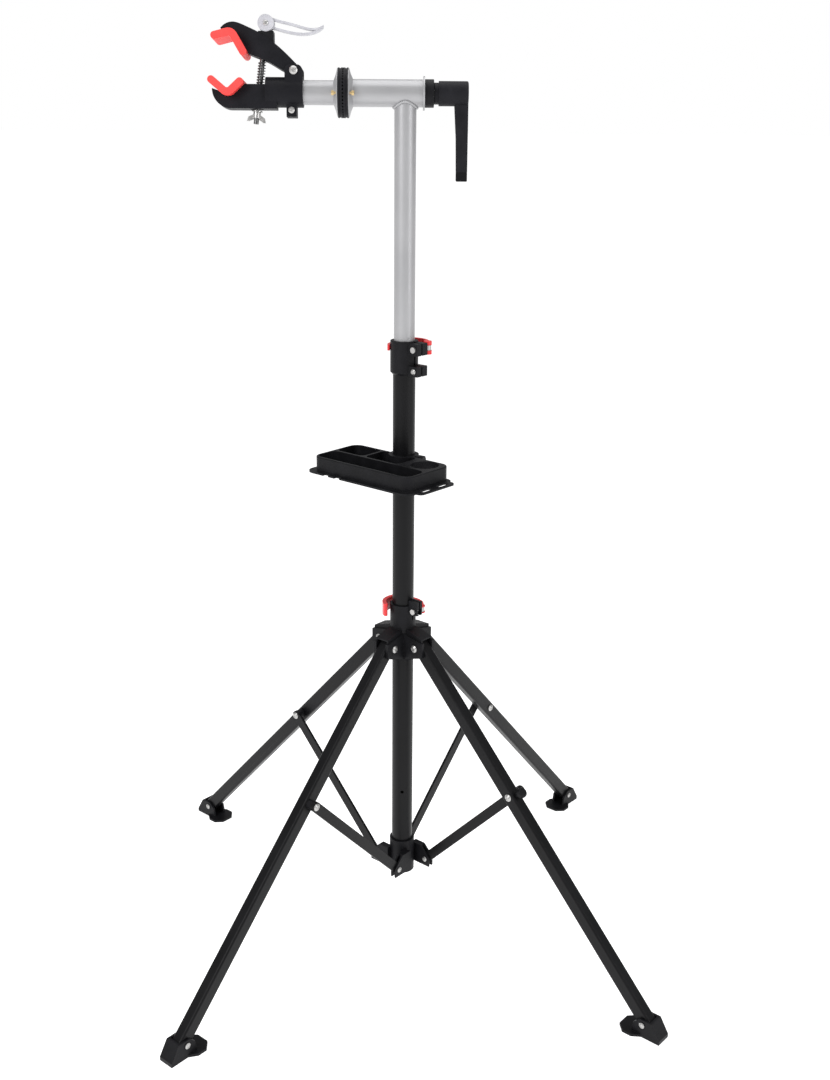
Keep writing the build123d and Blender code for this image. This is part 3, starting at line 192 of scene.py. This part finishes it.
FINISHES = {
    "black_paint": BLACK_PAINT,
    "black_plastic": BLACK_PLASTIC,
    "black_cap": BLACK_CAP,
    "black_metal": BLACK_METAL,
    "silver_tube": SILVER_TUBE,
    "zinc_steel": ZINC,
    "cast_silver": CAST_SILVER,
    "red_rubber": RED_RUBBER,
    "red_lever": RED_LEVER,
    "brass_screw": BRASS,
}
SPECIAL = {
    "crank_handle": BLACK_GRIP,
    "fixed_ring": BLACK_GRIP,
    "moving_ring": BLACK_GRIP,
    "clamp_spring": DARK_STEEL,
    "clamp_rod": DARK_STEEL,
}

for part in frame["record"]["subparts"]:
    thing = nodes[part["node"]]
    thing.data.materials.clear()
    thing.data.materials.append(SPECIAL.get(part["node"], FINISHES[part["material_slot"]]))

# ------------------------------------------------------------------ added pieces


def finish_piece(name, mesh, material, body):
    """An object from a mesh, with a material and its body."""
    piece = bpy.data.objects.new(name, mesh)
    bpy.context.scene.collection.objects.link(piece)
    mesh.materials.append(material)
    mesh.shade_smooth()
    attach(piece, body)
    return piece


def sweep_loop(name, path, radii, sides):
    """A closed tube along a loop of points, with a radius at each point."""
    mesh_data = bmesh.new()
    count = len(path)
    rings = []
    for index, point in enumerate(path):
        tangent = (path[(index + 1) % count] - path[index - 1]).normalized()
        out = Vector((point.x, point.y, 0)).normalized()
        out = (out - tangent * out.dot(tangent)).normalized()
        side = tangent.cross(out)
        rings.append([
            mesh_data.verts.new(point + (out * cos(turn) + side * sin(turn)) * radii[index])
            for turn in (2 * pi * k / sides for k in range(sides))
        ])
    for index in range(count):
        first, second = rings[index], rings[(index + 1) % count]
        for k in range(sides):
            after = (k + 1) % sides
            mesh_data.faces.new((first[k], first[after], second[after], second[k]))
    bmesh.ops.recalc_face_normals(mesh_data, faces=mesh_data.faces)
    mesh = bpy.data.meshes.new(name)
    mesh_data.to_mesh(mesh)
    mesh_data.free()
    return mesh


mast_low, mast_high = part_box("inner_mast")
MAST_RADIUS = (mast_high[0] - mast_low[0]) / 2
bush_low, bush_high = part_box("head_bush")
head_height = (bush_low[2] + bush_high[2]) / 2
HEAD_TUBE_RADIUS = 0.021
BEAD_RADIUS = 0.0022
BEAD_RIPPLE = 0.00035
BEAD_POINTS = 192
BEAD_RIPPLES = 44
BEAD_SIDES = 12
BEAD_REACH = 0.35        # bead's middle outside the mast, of its radius
BEAD_DROP = 0.3          # and below the head tube

bead_path, bead_radii = [], []
for step in range(BEAD_POINTS):
    angle = 2 * pi * step / BEAD_POINTS
    reach = MAST_RADIUS + BEAD_RADIUS * BEAD_REACH
    x, y = reach * cos(angle), reach * sin(angle)
    drop = sqrt(HEAD_TUBE_RADIUS**2 - (MAST_RADIUS * sin(angle)) ** 2)
    z = head_height - drop - BEAD_RADIUS * BEAD_DROP
    bead_path.append(Vector((x, y, z)))
    bead_radii.append(BEAD_RADIUS + BEAD_RIPPLE * sin(BEAD_RIPPLES * angle))
bead_mesh = sweep_loop("weld_bead", bead_path, bead_radii, BEAD_SIDES)
finish_piece("weld_bead", bead_mesh, SILVER_TUBE, "upper_mast")

SOCKET_NODES = [f"leg_rivets_{number}" for number in range(1, 5)]
SOCKET_NODES += ["upper_hub_rivets", "lower_hub_rivets"]
SOCKET_NODES += ["hinge_bolt", "pinch_bolt", "collar_pinch_bolt"]
CAP_SIDES = 24
CAP_SINK = 0.0001
CAP_HEIGHT = 0.14        # of the disc's radius
CAP_PROFILE = ((1.0, -1), (0.98, 0.5), (0.88, 1.0))
HEX_SIZE = 0.52          # half the socket's width across flats, of the disc's radius
LEAST_DISC = 1.5e-5      # square metres
FLAT_COSINE = 0.99       # faces of a disc against its direction


def loose_pieces(mesh_data):
    """Groups of connected faces, in the order of the faces' indices."""
    seen = set()
    for start in mesh_data.faces:
        group, border = [], [start]
        while border:
            face = border.pop()
            if face.index not in seen:
                seen.add(face.index)
                group.append(face)
                border.extend(other for edge in face.edges for other in edge.link_faces)
        if group:
            yield sorted(group, key=lambda face: face.index)


def end_discs(node):
    """Centre, direction and radius of the flat discs at the ends of each bolt in a node."""
    mesh_data = bmesh.new()
    mesh_data.from_mesh(nodes[node].data)
    mesh_data.transform(nodes[node].matrix_world)
    bmesh.ops.remove_doubles(mesh_data, verts=mesh_data.verts, dist=CAP_SINK / 10)
    mesh_data.faces.index_update()
    discs = []
    for group in loose_pieces(mesh_data):
        flats = {}
        for face in group:
            flats.setdefault(tuple(round(value, 2) + 0.0 for value in face.normal), []).append(face)
        found = max(flats.values(), key=lambda faces: sum(face.calc_area() for face in faces))
        axis = found[0].normal.copy()
        for direction in (axis, -axis):
            top = max(direction.dot(face.calc_center_median()) for face in group)
            flat = [
                face for face in group
                if direction.dot(face.normal) > FLAT_COSINE
                and top - direction.dot(face.calc_center_median()) < CAP_SINK
            ]
            area = sum(face.calc_area() for face in flat)
            if area > LEAST_DISC:
                weighted = (face.calc_center_median() * face.calc_area() for face in flat)
                discs.append((sum(weighted, Vector()) / area, direction.copy(), sqrt(area / pi)))
    mesh_data.free()
    return discs


def add_cap(mesh_data, centre, direction, radius):
    """A raised rim with a hexagonal socket, on the end of a bolt."""
    across = direction.orthogonal().normalized()
    along = direction.cross(across)
    height = CAP_HEIGHT * radius
    rings = []
    for reach, level in (*CAP_PROFILE, (None, 1.0), (None, -1)):
        lift = direction * (height * level if level > 0 else -CAP_SINK)
        ring = []
        for step in range(CAP_SIDES):
            angle = 2 * pi * step / CAP_SIDES
            if reach is None:
                distance = HEX_SIZE * radius / cos((angle + pi / 6) % (pi / 3) - pi / 6)
            else:
                distance = reach * radius
            ring.append(mesh_data.verts.new(
                centre + lift + (across * cos(angle) + along * sin(angle)) * distance
            ))
        rings.append(ring)
    for index, ring in enumerate(rings):
        following = rings[(index + 1) % len(rings)]
        for step in range(CAP_SIDES):
            after = (step + 1) % CAP_SIDES
            mesh_data.faces.new((ring[step], ring[after], following[after], following[step]))


bodies = frame["record"]["behaviour"]["bodies"]
body_of = {node: body for body, members in bodies.items() for node in members}
for node in SOCKET_NODES:
    caps = bmesh.new()
    for centre, direction, radius in end_discs(node):
        add_cap(caps, centre, direction, radius)
    bmesh.ops.recalc_face_normals(caps, faces=caps.faces)
    cap_mesh = bpy.data.meshes.new(f"{node}_sockets")
    caps.to_mesh(cap_mesh)
    caps.free()
    finish_piece(f"{node}_sockets", cap_mesh, ZINC, body_of[node])
    cap_mesh.shade_flat()

# ------------------------------------------------------------------ floor, light and camera

FLOOR_SIZE = 60.0
floor_mesh = bpy.data.meshes.new("floor")
floor_corners = [
    (x * FLOOR_SIZE, y * FLOOR_SIZE, 0) for x, y in ((-1, -1), (1, -1), (1, 1), (-1, 1))
]
floor_mesh.from_pydata(floor_corners, [], [(0, 1, 2, 3)])
floor = bpy.data.objects.new("floor", floor_mesh)
bpy.context.scene.collection.objects.link(floor)
floor_material, _, floor_shader = new_material("floor")
floor_shader.inputs["Base Color"].default_value = (0.9, 0.9, 0.9, 1)
floor_shader.inputs["Roughness"].default_value = 0.9
floor_shader.inputs["Specular IOR Level"].default_value = 0.05
floor_shader.inputs["Emission Color"].default_value = (1, 1, 1, 1)
floor_shader.inputs["Emission Strength"].default_value = 0.66
floor_mesh.materials.append(floor_material)

WORLD_LIGHT = 0.45
world = bpy.data.worlds.new("studio")
bpy.context.scene.world = world
world.use_nodes = True
background = world.node_tree.nodes["Background"]
background.inputs["Color"].default_value = (1, 1, 1, 1)
seen = world.node_tree.nodes.new("ShaderNodeLightPath")
strength = world.node_tree.nodes.new("ShaderNodeMapRange")
strength.inputs["To Min"].default_value = WORLD_LIGHT
strength.inputs["To Max"].default_value = 1.0
world.node_tree.links.new(seen.outputs["Is Camera Ray"], strength.inputs["Value"])
world.node_tree.links.new(strength.outputs["Result"], background.inputs["Strength"])


def area_light(name, place, aim, size, power):
    light = bpy.data.lights.new(name, "AREA")
    light.shape = "RECTANGLE"
    light.size, light.size_y = size
    light.energy = power
    lamp = bpy.data.objects.new(name, light)
    bpy.context.scene.collection.objects.link(lamp)
    lamp.location = place
    lamp.rotation_mode = "QUATERNION"
    lamp.rotation_quaternion = (Vector(aim) - Vector(place)).to_track_quat("-Z", "Y")


MIDDLE = (0.0, 0.0, 0.8)
area_light("key", (-2.2, -2.4, 2.6), MIDDLE, (1.4, 1.8), 60.0)
area_light("fill", (2.6, -1.8, 1.8), MIDDLE, (1.0, 2.2), 25.0)
area_light("top", (0.0, 0.3, 3.4), MIDDLE, (2.5, 2.5), 40.0)

PITCH, YAW, ROLL = radians(18.417), radians(0.636), radians(0.446)
CAMERA_PLACE = (-0.00403, -2.2114, 1.48856)
CAMERA_LENS = 44.2
SENSOR = 36.0
forward = Vector((sin(YAW) * cos(PITCH), cos(YAW) * cos(PITCH), -sin(PITCH)))
level_right = forward.cross(Vector((0, 0, 1))).normalized()
level_up = level_right.cross(forward)
right = level_right * cos(ROLL) + level_up * sin(ROLL)
up = level_up * cos(ROLL) - level_right * sin(ROLL)
camera_data = bpy.data.cameras.new("camera")
camera_data.lens = CAMERA_LENS
camera_data.sensor_width = SENSOR
camera = bpy.data.objects.new("camera", camera_data)
bpy.context.scene.collection.objects.link(camera)
turn = Matrix((right, up, -forward)).transposed()
camera.rotation_mode = "QUATERNION"
camera.rotation_quaternion = turn.to_quaternion()
camera.location = CAMERA_PLACE
bpy.context.scene.camera = camera
bpy.context.scene.view_settings.view_transform = "Standard"
